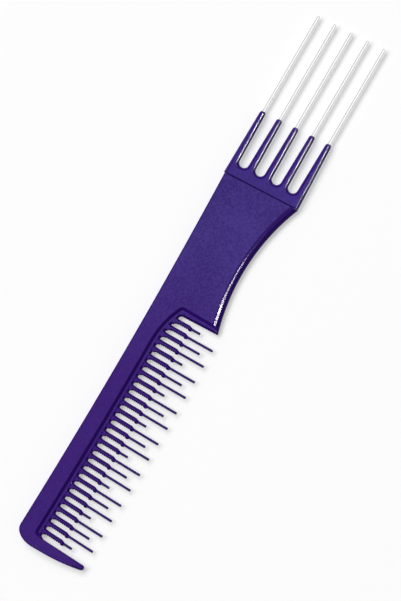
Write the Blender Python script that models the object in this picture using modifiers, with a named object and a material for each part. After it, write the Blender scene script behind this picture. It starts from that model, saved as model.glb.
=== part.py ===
"""Teasing comb: a moulded comb body, a lift head and five steel prongs.

The comb lies flat with its length along X, its prongs towards +X and its teeth towards -Y.
The comb body is drawn straight first, with x from the end tooth's outer face, y down from the
back edge and z from the middle of its thickness. It is then given the slight bow of the moulding
and set down with the origin under the middle of the whole comb. Lengths are in metres.
"""

import math

import bmesh
import bpy
from mathutils import Matrix, Vector

# Tooth row, from the end tooth's outer face towards the handle
END_TOOTH_WIDTH = 0.004
END_TOOTH_TIP_RADIUS = 0.00095
END_TOOTH_INSET = 0.00173
END_TOOTH_TAPER_DEPTH = 0.012
END_TOOTH_SWEEP_RADIUS = 0.066
END_TOOTH_TIP_THICKNESS = 0.0022
END_GAP = 0.0025
TOOTH_PITCH = 0.002965
TOOTH_COUNT = 29
LAST_GAP = 0.00225
FLANGE_WIDTH = 0.0025
FLANGE_SLANT = math.radians(2.3)

# Stems of the teeth as shares of the longest, in the order in which they repeat
STEM_SHARES = (0.309, 1.0, 0.65, 1.0)
LONG_TOOTH_INSET = 0.00028
FAN_RADIUS = 1.25
FAN_UPRIGHT_SHARE = 0.76

# One tooth: a wide blade with a saw edge, a barb, and a slim stem
BLADE_LENGTH = 0.0067
BLADE_SAW_SIDE = 0.00073
BLADE_PLAIN_SIDE = 0.0009
BLADE_FLANK = 0.00045
BARB_REACH = 0.00098
BARB_LENGTH = 0.00045
BARB_BACK_LENGTH = 0.0005
STEM_WIDTH = 0.0009
STEM_FLANK = 0.00026
SHOULDER_LENGTH = 0.0014
ROOT_ARCH_SAW_SHARE = 0.56
ROOT_ARCH_PLAIN_SHARE = 0.18
ROOT_ARCH_HEIGHT = 0.0016
TOOTH_HOLD_SHARE = 0.25
TIP_SHARE = 0.5
TOOTH_STEP = 0.0001
TOOTH_TIP_THICKNESS = 0.0014
TIP_ROUNDING = 0.00035
SAW_PITCH = 0.00073
SAW_NOTCH_DEPTH = 0.00025
SAW_NOTCH_WIDTH = 0.00056
SAW_NOTCH_COUNT = 8
SAW_ROOM = 0.0012
NOTCH_OVERCUT_SHARE = 1.2

# Spine and the thinner web that carries the teeth
BODY_THICKNESS = 0.0036
WEB_STEP = 0.0008
WEB_SLOPE = 0.0011
SHOULDER_DEPTH = 0.006
WEB_WIDTH = 0.0022
SHOULDER_SWEEP_RADIUS = 0.033
SHOULDER_SWEEP_LENGTH = 0.0149
SHOULDER_CORNER_RADIUS = 0.0014
GAP_CORNER_RADIUS = 0.0011
END_CORNER_LENGTH = 0.00485
END_CORNER_HEIGHT = 0.00735
RIM_ROUNDING = 0.00045

# Handle, whose lower edge is one long arc with a full round, drawn part of the way to a bevel
HANDLE_LENGTH = 0.047
ARCH_RISE = 0.00613
WAIST_TO_CORNER = 0.0293
EDGE_ROUND_REACH = 0.00235
EDGE_BEVEL_SHARE = 0.54

# Bow of the moulding, lowest at this share of the comb body's length
BOW_RADIUS = 2.17
BOW_LOW_SHARE = 0.508

# Lift head
HEAD_LENGTH = 0.02445
HEAD_WIDTH = 0.0279
HEAD_STEP = 0.00015
HEAD_PROUD = 0.00035
EDGE_PROUD = 0.00018
HEAD_BAND = 0.00415
HEAD_LINE_SLANT = math.radians(2.7)
FINGER_TIP_SLANT = math.radians(3.6)
FINGER_ROOT_WIDTH = 0.0028
FINGER_TIP_WIDTH = 0.0021
FINGER_TIP_LENGTH = 0.0011
FINGER_TIP_THICKNESS = 0.0026
HEAD_ROUNDING = 0.0008

# Tongue by which the lift head sits in the handle
TONGUE_LENGTH = 0.006
TONGUE_THICKNESS = 0.0014
TONGUE_WALL = 0.0012
TONGUE_ROOT_SHARE = 0.5
JOINT_GAP = 0.0002
TONGUE_CLEARANCE = 0.0002

# Prongs
PRONG_COUNT = 5
PRONG_DIAMETER = 0.0012
FIRST_PRONG_INSET = 0.0014
LAST_PRONG_INSET = 0.00202
PRONG_REACH = 0.03675
PRONG_BUTT_WALL = 0.0052
PRONG_END_CLEARANCE = 0.0003
PRONG_CLEARANCE = 0.00005
PRONG_BUTT_CHAMFER = 0.00015

# Steps that only set how finely curves are drawn
OUTLINE_STEP = 0.008
SWEEP_STEP = 0.0025
CORNER_STEPS = 9
SLOT_STEPS = 12
ROUND_STEPS = 12
TIP_STEPS = 4
ROOT_ARCH_STEPS = 3
EDGE_ROUND_STEPS = 6
EDGE_ARC_STEPS = 132
CUT_OVERRUN = 0.002
WELD = 0.000001

# Places and sizes worked out from those above
FIRST_TOOTH_X = END_TOOTH_WIDTH + END_GAP
LAST_TOOTH_X = FIRST_TOOTH_X + (TOOTH_COUNT - 1) * TOOTH_PITCH
UPRIGHT_TOOTH_X = FIRST_TOOTH_X + (LAST_TOOTH_X - FIRST_TOOTH_X) * FAN_UPRIGHT_SHARE
FLANGE_X = LAST_TOOTH_X + LAST_GAP
WALL_X = FLANGE_X + FLANGE_WIDTH
BODY_LENGTH = WALL_X + HANDLE_LENGTH
SWEEP_START_X = WALL_X - SHOULDER_SWEEP_LENGTH
BLADE_END_DEPTH = SHOULDER_DEPTH + WEB_WIDTH + BLADE_LENGTH
STEM_DEPTH = BLADE_END_DEPTH + SHOULDER_LENGTH
BLADE_GAP = TOOTH_PITCH - BLADE_SAW_SIDE - BLADE_PLAIN_SIDE
WEB_THICKNESS = BODY_THICKNESS - 2 * WEB_STEP
TOOTH_ROOT_THICKNESS = WEB_THICKNESS - 2 * TOOTH_STEP
HEAD_THICKNESS = BODY_THICKNESS - 2 * HEAD_STEP
PRONG_PITCH = (HEAD_WIDTH - FIRST_PRONG_INSET - LAST_PRONG_INSET) / (PRONG_COUNT - 1)
FIRST_PRONG_Y = HEAD_WIDTH / 2 - FIRST_PRONG_INSET
LAST_PRONG_Y = LAST_PRONG_INSET - HEAD_WIDTH / 2
PRONG_EMBED = HEAD_LENGTH - PRONG_BUTT_WALL
WHOLE_LENGTH = BODY_LENGTH + HEAD_LENGTH + PRONG_REACH - LAST_PRONG_Y * math.tan(FINGER_TIP_SLANT)
EDGE_CORNER_DEPTH = HEAD_WIDTH - HEAD_PROUD + EDGE_PROUD
END_TOOTH_DEPTH = EDGE_CORNER_DEPTH - END_TOOTH_INSET
LONG_STEM = END_TOOTH_DEPTH - LONG_TOOTH_INSET - STEM_DEPTH
EDGE_CORNER_X = BODY_LENGTH + HEAD_WIDTH / 2 * math.tan(HEAD_LINE_SLANT)
WAIST_X = EDGE_CORNER_X - WAIST_TO_CORNER
WAIST_WIDTH = EDGE_CORNER_DEPTH - ARCH_RISE
EDGE_RADIUS = (WAIST_TO_CORNER ** 2 + ARCH_RISE ** 2) / (2 * ARCH_RISE)

# Colours and finishes
ACETAL_COLOUR = (0.055, 0.031, 0.195, 1.0)
ACETAL_ROUGHNESS = 0.42
HEAD_ROUGHNESS = 0.24
STEEL_COLOUR = (0.76, 0.76, 0.77, 1.0)
STEEL_ROUGHNESS = 0.18


def clear_scene():
    """Remove what the file opened with."""
    for obj in list(bpy.data.objects):
        bpy.data.objects.remove(obj, do_unlink=True)


def new_collection(name):
    """Make a collection and link it to the scene."""
    collection = bpy.data.collections.new(name)
    bpy.context.scene.collection.children.link(collection)
    return collection


def make_material(name, colour, roughness, metallic):
    """Make a Principled material."""
    material = bpy.data.materials.new(name)
    material.use_nodes = True
    shader = material.node_tree.nodes["Principled BSDF"]
    shader.inputs["Base Color"].default_value = colour
    shader.inputs["Roughness"].default_value = roughness
    shader.inputs["Metallic"].default_value = metallic
    return material


def settle(obj):
    """Turn an object's modifiers into its mesh."""
    depsgraph = bpy.context.evaluated_depsgraph_get()
    mesh = bpy.data.meshes.new_from_object(obj.evaluated_get(depsgraph), depsgraph=depsgraph)
    obj.modifiers.clear()
    obj.data = mesh


def mesh_object(name, bm, collection):
    """Close a bmesh and put it in an object."""
    bmesh.ops.recalc_face_normals(bm, faces=bm.faces)
    mesh = bpy.data.meshes.new(name)
    bm.to_mesh(mesh)
    bm.free()
    obj = bpy.data.objects.new(name, mesh)
    collection.objects.link(obj)
    return obj


def boolean(obj, other, operation):
    """Cut another object out of an object, or fuse it on, and remove the other."""
    modifier = obj.modifiers.new(operation.title(), 'BOOLEAN')
    modifier.operation = operation
    modifier.solver = 'EXACT'
    modifier.object = other
    settle(obj)
    bpy.data.objects.remove(other, do_unlink=True)


def flat_solid(name, outline, thickness, collection):
    """Extrude a plan outline to a wall, and fill each of its two flat faces with one polygon."""
    curve = bpy.data.curves.new(name, 'CURVE')
    curve.dimensions = '2D'
    curve.fill_mode = 'NONE'
    curve.extrude = thickness / 2
    spline = curve.splines.new('POLY')
    spline.points.add(len(outline) - 1)
    for spline_point, (x, y) in zip(spline.points, outline):
        spline_point.co = (x, y, 0, 1)
    spline.use_cyclic_u = True
    curve_object = bpy.data.objects.new(name + "_curve", curve)
    collection.objects.link(curve_object)
    depsgraph = bpy.context.evaluated_depsgraph_get()
    mesh = bpy.data.meshes.new_from_object(curve_object.evaluated_get(depsgraph), depsgraph=depsgraph)
    bm = bmesh.new()
    bm.from_mesh(mesh)
    bmesh.ops.remove_doubles(bm, verts=bm.verts, dist=WELD)
    bmesh.ops.holes_fill(bm, edges=bm.edges, sides=0)
    bpy.data.objects.remove(curve_object, do_unlink=True)
    bpy.data.meshes.remove(mesh)
    return mesh_object(name, bm, collection)


def round_rims(obj, width, segments, is_rounded):
    """Round the edges round the two flat faces where the test on an edge's middle allows it."""
    mesh = obj.data
    weights = mesh.attributes.new("bevel_weight_edge", 'FLOAT', 'EDGE')
    for edge in mesh.edges:
        start, end = (mesh.vertices[index].co for index in edge.vertices)
        lies_flat = abs(start.z - end.z) < WELD
        if lies_flat and is_rounded((start + end) / 2):
            weights.data[edge.index].value = 1.0
    bevel = obj.modifiers.new("Rims", 'BEVEL')
    bevel.limit_method = 'WEIGHT'
    bevel.width = width
    bevel.segments = segments
    bevel.use_clamp_overlap = False
    settle(obj)


def loft(bm, rings):
    """Add a closed solid through rings of as many points each."""
    loops = [[bm.verts.new(point) for point in ring] for ring in rings]
    for near, far in zip(loops, loops[1:]):
        for index in range(len(near)):
            after = (index + 1) % len(near)
            bm.faces.new((near[index], near[after], far[after], far[index]))
    bm.faces.new(loops[0])
    bm.faces.new(loops[-1])


def turned(name, profile, collection):
    """Turn a profile of (radius, height) points about Z, run down its outer side."""
    mesh = bpy.data.meshes.new(name)
    edges = [(index, index + 1) for index in range(len(profile) - 1)]
    mesh.from_pydata([(radius, 0, height) for radius, height in profile], edges, [])
    obj = bpy.data.objects.new(name, mesh)
    collection.objects.link(obj)
    screw = obj.modifiers.new("Turn", 'SCREW')
    screw.steps = ROUND_STEPS
    screw.render_steps = ROUND_STEPS
    screw.use_merge_vertices = True
    screw.merge_threshold = WELD
    return obj


def arc(centre, radii, start_deg, end_deg, steps):
    """Points along an arc or a part of an ellipse."""
    points = []
    for step in range(steps + 1):
        angle = math.radians(start_deg + (end_deg - start_deg) * step / steps)
        points.append((centre[0] + radii[0] * math.cos(angle), centre[1] + radii[1] * math.sin(angle)))
    return points


def spread(start, end, step):
    """Places from start to end, both included, no further apart than about one step."""
    count = max(1, round(abs(end - start) / step))
    return [start + (end - start) * index / count for index in range(count + 1)]


def shoulder_depth(x):
    """Depth of the shoulder below the back edge, which sweeps down towards the handle."""
    run = max(0, min(x, WALL_X) - SWEEP_START_X)
    return SHOULDER_DEPTH + SHOULDER_SWEEP_RADIUS - math.sqrt(SHOULDER_SWEEP_RADIUS ** 2 - run ** 2)


def edge_depth(x):
    """Depth of the handle's arched lower edge below the back edge."""
    return WAIST_WIDTH + EDGE_RADIUS - math.sqrt(EDGE_RADIUS ** 2 - (x - WAIST_X) ** 2)


def back_height(x):
    """Height of the bowed back edge above the comb's middle line."""
    low = BODY_LENGTH * BOW_LOW_SHARE
    rise = (min(x, BODY_LENGTH) - low) ** 2 / (2 * BOW_RADIUS)
    rise_at_head = (BODY_LENGTH - low) ** 2 / (2 * BOW_RADIUS)
    return HEAD_WIDTH / 2 - HEAD_PROUD - rise_at_head + rise


def head_line_x(y):
    """Place of the line between handle and head, at a height from the comb's middle line."""
    return BODY_LENGTH - y * math.tan(HEAD_LINE_SLANT)


def end_tooth_outline():
    """Outline of the end tooth, from the spine's end down and round the tip to its inner side."""
    sweep_radius = END_TOOTH_SWEEP_RADIUS
    tip_radius = END_TOOTH_TIP_RADIUS
    fall = END_TOOTH_DEPTH - tip_radius - END_TOOTH_TAPER_DEPTH
    turn = math.asin(fall / (sweep_radius - tip_radius))
    tip_x = sweep_radius - (sweep_radius - tip_radius) * math.cos(turn)
    tip = (tip_x, tip_radius - END_TOOTH_DEPTH)
    inner_run = END_TOOTH_WIDTH - tip_x - tip_radius
    inner_lean = math.degrees(math.atan2(inner_run, END_TOOTH_DEPTH - root_depth_at(END_TOOTH_WIDTH)))
    sweep_centre = (sweep_radius, -END_TOOTH_TAPER_DEPTH)
    half_turn = math.degrees(math.pi)
    tip_start = half_turn + math.degrees(turn)
    points = arc(sweep_centre, (sweep_radius, sweep_radius), half_turn, tip_start, TIP_STEPS)
    points += arc(tip, (tip_radius, tip_radius), tip_start, 2 * half_turn - inner_lean, CORNER_STEPS)[1:]
    return points


def recess_rim():
    """Upper rim of the recess along the tooth row, round the corner and down the handle's wall."""
    outset = WEB_SLOPE / 2
    corner_radius = SHOULDER_CORNER_RADIUS + outset
    sweep_radius = SHOULDER_SWEEP_RADIUS + outset
    inner = SHOULDER_SWEEP_RADIUS - SHOULDER_CORNER_RADIUS
    corner_x = WALL_X - SHOULDER_CORNER_RADIUS
    fall = SHOULDER_DEPTH + SHOULDER_SWEEP_RADIUS
    turn = math.asin((corner_x - SWEEP_START_X) / inner)
    upright = math.degrees(math.pi / 2 - turn)
    sweep_steps = math.ceil(sweep_radius * turn / SWEEP_STEP)
    row_start = END_TOOTH_WIDTH + WEB_SLOPE + SHOULDER_CORNER_RADIUS / 2
    row = spread(row_start, SWEEP_START_X, OUTLINE_STEP)[1:-1]
    points = [(x, outset - SHOULDER_DEPTH) for x in row]
    points += arc((SWEEP_START_X, -fall), (sweep_radius, sweep_radius), 90, upright, sweep_steps)
    corner = (corner_x, inner * math.cos(turn) - fall)
    points += arc(corner, (corner_radius, corner_radius), upright, 0, TIP_STEPS)[1:]
    return points


def gap_root_outline():
    """Outline of the web along the gaps' roots, from the flange's inner face to the end tooth."""
    radius = GAP_CORNER_RADIUS
    turn_x = FLANGE_X - radius
    turn = (turn_x, -root_depth_at(turn_x) - radius)
    stock_depth = EDGE_CORNER_DEPTH + CUT_OVERRUN
    points = [(FLANGE_X + (stock_depth + turn[1]) * math.tan(FLANGE_SLANT), -stock_depth)]
    points += arc(turn, (radius, radius), 0, 90, TIP_STEPS)
    row = spread(turn_x, SWEEP_START_X, SWEEP_STEP)[1:]
    end_corner = (END_TOOTH_WIDTH + radius / 2, -root_depth_at(END_TOOTH_WIDTH) - radius / 2)
    row += spread(SWEEP_START_X, end_corner[0], OUTLINE_STEP)[1:]
    points += [(x, -root_depth_at(x)) for x in row]
    points += arc(end_corner, (radius / 2, radius / 2), 90, 180, TIP_STEPS)[1:]
    return points


def plate_outline():
    """Plan outline of the whole comb body but its teeth, with spare stock below the handle's edge."""
    corner = (END_CORNER_LENGTH, -END_CORNER_HEIGHT)
    end_corner = arc(corner, (END_CORNER_LENGTH, END_CORNER_HEIGHT), 180, 90, CORNER_STEPS)
    end_x = BODY_LENGTH - JOINT_GAP / 2
    slant = math.tan(HEAD_LINE_SLANT)
    stock_depth = EDGE_CORNER_DEPTH + CUT_OVERRUN
    top_y = HEAD_WIDTH / 2
    back = [(x, 0) for x in spread(END_CORNER_LENGTH, end_x - top_y * slant, OUTLINE_STEP)[1:]]
    stock = [(end_x + (stock_depth - top_y) * slant, -stock_depth)]
    return end_corner + back + stock + gap_root_outline() + end_tooth_outline()[::-1]


def recess_outline():
    """Plan outline of the recess above the web, along the shoulder and down the handle's wall."""
    radius = WEB_SLOPE + SHOULDER_CORNER_RADIUS / 2
    corner = (END_TOOTH_WIDTH + radius, WEB_SLOPE / 2 - SHOULDER_DEPTH - radius)
    overrun_depth = EDGE_CORNER_DEPTH + 2 * CUT_OVERRUN
    past_root = root_depth_at(END_TOOTH_WIDTH) + CUT_OVERRUN
    clear_x = FLANGE_X - CUT_OVERRUN
    points = arc(corner, (radius, radius), 180, 90, TIP_STEPS) + recess_rim()
    points += [(WALL_X + WEB_SLOPE / 2, -overrun_depth), (clear_x, -overrun_depth)]
    points += [(clear_x, -past_root - SHOULDER_DEPTH), (END_TOOTH_WIDTH, -past_root)]
    return points


def recess_cutter(side, collection):
    """Cutter that leaves the web thin on one side, with a slope down to it from the rim."""
    def at_foot(point):
        is_past_edge = -point.y > EDGE_CORNER_DEPTH + CUT_OVERRUN
        is_on_row_side = -point.y > root_depth_at(point.x) + CUT_OVERRUN / 2 and point.x < WALL_X
        return point.z < 0 and not is_past_edge and not is_on_row_side

    steepness = WEB_STEP / WEB_SLOPE
    height = BODY_THICKNESS
    cutter = flat_solid("recess", recess_outline(), height, collection)
    round_rims(cutter, WEB_SLOPE, 1, at_foot)
    cutter.data.transform(Matrix.Translation((0, 0, height / 2)))
    cutter.data.transform(Matrix.Diagonal((1, 1, steepness, 1)))
    cutter.data.transform(Matrix.Translation((0, 0, WEB_THICKNESS / 2)))
    cutter.data.transform(Matrix.Diagonal((1, 1, side, 1)))
    if side < 0:
        cutter.data.flip_normals()
    return cutter


def thin_end_tooth(obj):
    """Taper the end tooth's thickness towards its tip."""
    bm = bmesh.new()
    bm.from_mesh(obj.data)
    start = Vector((0, -END_TOOTH_TAPER_DEPTH, 0))
    geometry = [*bm.verts, *bm.edges, *[face for face in bm.faces if face.calc_center_median().x < WALL_X]]
    bmesh.ops.bisect_plane(bm, geom=geometry, plane_co=start, plane_no=(0, 1, 0), dist=WELD)
    loss = 1 - END_TOOTH_TIP_THICKNESS / BODY_THICKNESS
    taper_length = END_TOOTH_DEPTH - END_TOOTH_TAPER_DEPTH
    for vertex in bm.verts:
        below = -vertex.co.y - END_TOOTH_TAPER_DEPTH
        if below > 0 and vertex.co.x < FIRST_TOOTH_X:
            vertex.co.z *= 1 - loss * below / taper_length
    bm.to_mesh(obj.data)
    bm.free()


def tooth_half_thickness(depth, root_depth):
    """Half the tooth's thickness at a depth, thinning evenly from the root to the long tips."""
    along = (depth - root_depth) / (STEM_DEPTH + LONG_STEM - root_depth)
    return (TOOTH_ROOT_THICKNESS + (TOOTH_TIP_THICKNESS - TOOTH_ROOT_THICKNESS) * along) / 2


def tooth_ring(x, depth, saw_side, plain_side, flank, half_thickness):
    """Six-sided section of a tooth: an edge at each side and a flat strip above and below."""
    saw_top = saw_side - flank
    plain_top = plain_side - flank
    return [
        (x - saw_side, -depth, 0),
        (x - saw_top, -depth, half_thickness),
        (x + plain_top, -depth, half_thickness),
        (x + plain_side, -depth, 0),
        (x + plain_top, -depth, -half_thickness),
        (x - saw_top, -depth, -half_thickness),
    ]


def root_depth_at(x):
    """Depth of the gaps' roots below the back edge."""
    return shoulder_depth(x) + WEB_WIDTH


def root_arch(x):
    """Sections of a tooth's root, which widens into the arches at the gaps' roots."""
    arch_saw = BLADE_GAP * ROOT_ARCH_SAW_SHARE
    arch_plain = BLADE_GAP * ROOT_ARCH_PLAIN_SHARE
    root = root_depth_at(x)
    hidden = WEB_WIDTH * TOOTH_HOLD_SHARE
    sections = [(root - hidden, BLADE_SAW_SIDE + arch_saw, BLADE_PLAIN_SIDE + arch_plain, BLADE_FLANK)]
    for step in range(1, ROOT_ARCH_STEPS + 1):
        angle = math.pi / 2 * step / ROOT_ARCH_STEPS
        narrowing = 1 - math.sin(angle)
        sections.append((
            root + ROOT_ARCH_HEIGHT * (1 - math.cos(angle)),
            BLADE_SAW_SIDE + arch_saw * narrowing,
            BLADE_PLAIN_SIDE + arch_plain * narrowing,
            BLADE_FLANK,
        ))
    return sections


def tooth_rings(x, stem_length):
    """Sections of one tooth from inside the web to its tip."""
    root = root_depth_at(x)
    stem = STEM_WIDTH / 2
    barb_flank = BLADE_FLANK + BARB_REACH - BLADE_SAW_SIDE
    tip = STEM_DEPTH + stem_length
    sections = root_arch(x)
    sections += [
        (BLADE_END_DEPTH, BLADE_SAW_SIDE, BLADE_PLAIN_SIDE, BLADE_FLANK),
        (BLADE_END_DEPTH + BARB_LENGTH, BARB_REACH, (BLADE_PLAIN_SIDE + stem) / 2, barb_flank),
        (BLADE_END_DEPTH + BARB_LENGTH + BARB_BACK_LENGTH, (BARB_REACH + stem) / 2, stem, STEM_FLANK),
        (STEM_DEPTH, stem, stem, STEM_FLANK),
        (tip - TIP_ROUNDING, stem, stem, STEM_FLANK),
    ]
    rings = [
        tooth_ring(x, depth, saw_side, plain_side, flank, tooth_half_thickness(depth, root))
        for depth, saw_side, plain_side, flank in sections
    ]
    tip_stem = stem * TIP_SHARE
    tip_half_thickness = tooth_half_thickness(tip, root) * TIP_SHARE
    rings.append(tooth_ring(x, tip, tip_stem, tip_stem, STEM_FLANK * TIP_SHARE, tip_half_thickness))
    return rings


def tooth_lean(x):
    """Turn of a tooth about its root, which fans the row out towards the end tooth."""
    root = Vector((x, -root_depth_at(x), 0))
    turn = Matrix.Rotation((x - UPRIGHT_TOOTH_X) / FAN_RADIUS, 4, 'Z')
    return Matrix.Translation(root) @ turn @ Matrix.Translation(-root)


def tooth_row(collection):
    """All the teeth as separate solids in one object, before the saw edges are cut."""
    bm = bmesh.new()
    for index in range(TOOTH_COUNT):
        x = FIRST_TOOTH_X + index * TOOTH_PITCH
        lean = tooth_lean(x)
        rings = tooth_rings(x, LONG_STEM * STEM_SHARES[index % len(STEM_SHARES)])
        loft(bm, [[lean @ Vector(point) for point in ring] for ring in rings])
    return mesh_object("teeth", bm, collection)


def saw_notches(collection):
    """Three-sided cutters for every notch of every saw edge, sized by their corners' circle."""
    bm = bmesh.new()
    reach = SAW_NOTCH_DEPTH * NOTCH_OVERCUT_SHARE / (1 + math.cos(math.pi / 3))
    half_side = SAW_NOTCH_WIDTH * NOTCH_OVERCUT_SHARE / math.sqrt(3)
    size = Matrix.Diagonal((reach, half_side, 1, 1))
    apex_forward = Matrix.Rotation(-math.pi / 2, 4, 'Z')
    for index in range(TOOTH_COUNT):
        x = FIRST_TOOTH_X + index * TOOTH_PITCH
        for notch in range(SAW_NOTCH_COUNT):
            depth = BLADE_END_DEPTH - (notch + 1 / 2) * SAW_PITCH
            if depth < root_depth_at(x) + SAW_ROOM:
                break
            apex_x = x - BLADE_SAW_SIDE + SAW_NOTCH_DEPTH
            place = tooth_lean(x) @ Matrix.Translation((apex_x - reach, -depth, 0))
            bmesh.ops.create_cone(
                bm, cap_ends=True, segments=3, radius1=1, radius2=1,
                depth=BODY_THICKNESS, matrix=place @ size @ apex_forward,
            )
    return mesh_object("saw_notches", bm, collection)


def edge_cutter(collection):
    """Turned disc whose grooved rim leaves a full round along the handle's arched edge."""
    half = BODY_THICKNESS / 2
    outer = EDGE_RADIUS + EDGE_ROUND_REACH
    power = 1 + EDGE_BEVEL_SHARE
    upper = []
    for step in range(EDGE_ROUND_STEPS + 1):
        angle = math.pi / 2 * step / EDGE_ROUND_STEPS
        inset = EDGE_ROUND_REACH * math.sin(angle) ** power
        upper.append((outer - inset, half * max(0, math.cos(angle)) ** power))
    lower = [(radius, -height) for radius, height in upper[-2::-1]]
    profile = [(0, half + CUT_OVERRUN), (outer, half + CUT_OVERRUN), *upper, *lower]
    profile += [(outer, -half - CUT_OVERRUN), (0, -half - CUT_OVERRUN)]
    disc = turned("edge_cutter", profile, collection)
    disc.modifiers["Turn"].steps = EDGE_ARC_STEPS
    disc.modifiers["Turn"].render_steps = EDGE_ARC_STEPS
    disc.location = (WAIST_X, -WAIST_WIDTH - EDGE_RADIUS, 0)
    return disc


def tongue_outline(grown):
    """Plan outline of the head's tongue, or of its pocket when grown by the clearance."""
    line_y = HEAD_WIDTH / 2 - HEAD_PROUD - TONGUE_WALL + grown
    inner_x = BODY_LENGTH - TONGUE_LENGTH - grown
    outer_x = BODY_LENGTH + HEAD_BAND * TONGUE_ROOT_SHARE
    top = back_height(inner_x) - TONGUE_WALL + grown
    low = back_height(inner_x) - edge_depth(inner_x) + TONGUE_WALL - grown
    return [(inner_x, low), (outer_x, -line_y), (outer_x, line_y), (inner_x, top)]


def bow(obj):
    """Move the straight comb body to its bowed shape, measured from the comb's middle line."""
    for vertex in obj.data.vertices:
        vertex.co.y += back_height(vertex.co.x)


def finish(obj, material, collection):
    """Set a piece down with the origin under the comb's middle and dress it."""
    obj.data.transform(Matrix.Translation((-WHOLE_LENGTH / 2, EDGE_PROUD / 2, BODY_THICKNESS / 2)))
    obj.data.materials.clear()
    obj.data.materials.append(material)
    obj.data.shade_smooth()
    obj.data.set_sharp_from_angle(angle=math.radians(30))
    collection.objects.link(obj)


def comb_body(collection):
    """Spine, end tooth, web, teeth and handle, moulded in one."""
    def off_web(point):
        is_on_head_line = point.x > BODY_LENGTH - HEAD_WIDTH * math.tan(HEAD_LINE_SLANT)
        is_on_web = END_TOOTH_WIDTH < point.x < WALL_X and -point.y > SHOULDER_DEPTH
        return not is_on_web and (point.y > -WELD or not is_on_head_line)

    body = flat_solid("comb_body", plate_outline(), BODY_THICKNESS, collection)
    round_rims(body, RIM_ROUNDING, 2, off_web)
    thin_end_tooth(body)
    boolean(body, recess_cutter(1, collection), 'DIFFERENCE')
    boolean(body, recess_cutter(-1, collection), 'DIFFERENCE')
    boolean(body, edge_cutter(collection), 'DIFFERENCE')
    teeth = tooth_row(collection)
    boolean(teeth, saw_notches(collection), 'DIFFERENCE')
    boolean(body, teeth, 'UNION')
    bow(body)
    pocket_thickness = TONGUE_THICKNESS + 2 * TONGUE_CLEARANCE
    pocket = flat_solid("pocket", tongue_outline(TONGUE_CLEARANCE), pocket_thickness, collection)
    boolean(body, pocket, 'DIFFERENCE')
    return body


def prong_y(index):
    """Height of a prong's axis above the comb's middle line."""
    return FIRST_PRONG_Y - index * PRONG_PITCH


def finger_tip_x(y):
    """Place of a finger's tip, on a line that slants across the head."""
    return BODY_LENGTH + HEAD_LENGTH - y * math.tan(FINGER_TIP_SLANT)


def finger_tip(index):
    """Rounded tip of a finger, from its upper edge to its lower edge."""
    y = prong_y(index)
    centre = (finger_tip_x(y) - FINGER_TIP_LENGTH, y)
    return arc(centre, (FINGER_TIP_LENGTH, FINGER_TIP_WIDTH / 2), 90, -90, 2 * TIP_STEPS)


def slot_bottom(index):
    """Round bottom of the slot below a finger, from its upper edge to its lower edge."""
    y = prong_y(index) - PRONG_PITCH / 2
    radius = (PRONG_PITCH - FINGER_ROOT_WIDTH) / 2
    centre = (head_line_x(y) + HEAD_BAND + radius, y)
    return arc(centre, (radius, radius), 90, 270, SLOT_STEPS)


def head_outline():
    """Plan outline of the lift head with its fingers and round-bottomed slots."""
    top_y = HEAD_WIDTH / 2
    start_x = JOINT_GAP / 2
    points = [(head_line_x(-top_y) + start_x, -top_y), (head_line_x(top_y) + start_x, top_y)]
    for index in range(PRONG_COUNT):
        points += finger_tip(index)
        if index < PRONG_COUNT - 1:
            points += slot_bottom(index)
    return points


def thin_fingers(obj):
    """Taper the head's thickness from the handle to the fingers' tips."""
    loss = 1 - FINGER_TIP_THICKNESS / HEAD_THICKNESS
    for vertex in obj.data.vertices:
        along = (vertex.co.x - BODY_LENGTH) / HEAD_LENGTH
        vertex.co.z *= 1 - loss * max(0, along)


def prong_solid(name, radius, length, collection, tip_steps):
    """Round bar with a round tip, lying along X from its butt at x = 0."""
    profile = []
    for step in range(tip_steps):
        angle = math.pi / 2 * step / tip_steps
        profile.append((radius * math.sin(angle), length - radius * (1 - math.cos(angle))))
    profile.append((radius, length - radius))
    profile += [(radius, PRONG_BUTT_CHAMFER), (radius - PRONG_BUTT_CHAMFER, 0), (0, 0)]
    obj = turned(name, profile, collection)
    settle(obj)
    obj.data.transform(Matrix.Rotation(math.pi / 2, 4, 'Y'))
    return obj


def lift_head(collection):
    """Head with five fingers, each bored for a prong, and a tongue that sits in the handle."""
    def off_head_line(point):
        return point.x > head_line_x(point.y) + JOINT_GAP

    head = flat_solid("lift_head", head_outline(), HEAD_THICKNESS, collection)
    round_rims(head, HEAD_ROUNDING, 3, off_head_line)
    thin_fingers(head)
    tongue = flat_solid("tongue", tongue_outline(0), TONGUE_THICKNESS, collection)
    boolean(head, tongue, 'UNION')
    for index in range(PRONG_COUNT):
        y = prong_y(index)
        depth = PRONG_EMBED + PRONG_END_CLEARANCE
        bore = prong_solid("bore", PRONG_DIAMETER / 2 + PRONG_CLEARANCE, depth + CUT_OVERRUN, collection, 1)
        bore.data.transform(Matrix.Translation((finger_tip_x(y) - depth, y, 0)))
        boolean(head, bore, 'DIFFERENCE')
    return head


def prong(index, collection):
    """One steel prong, seated in its finger."""
    y = prong_y(index)
    name = "prong_" + str(index + 1)
    obj = prong_solid(name, PRONG_DIAMETER / 2, PRONG_EMBED + PRONG_REACH, collection, TIP_STEPS)
    obj.data.transform(Matrix.Translation((finger_tip_x(y) - PRONG_EMBED, y, 0)))
    return obj


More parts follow.
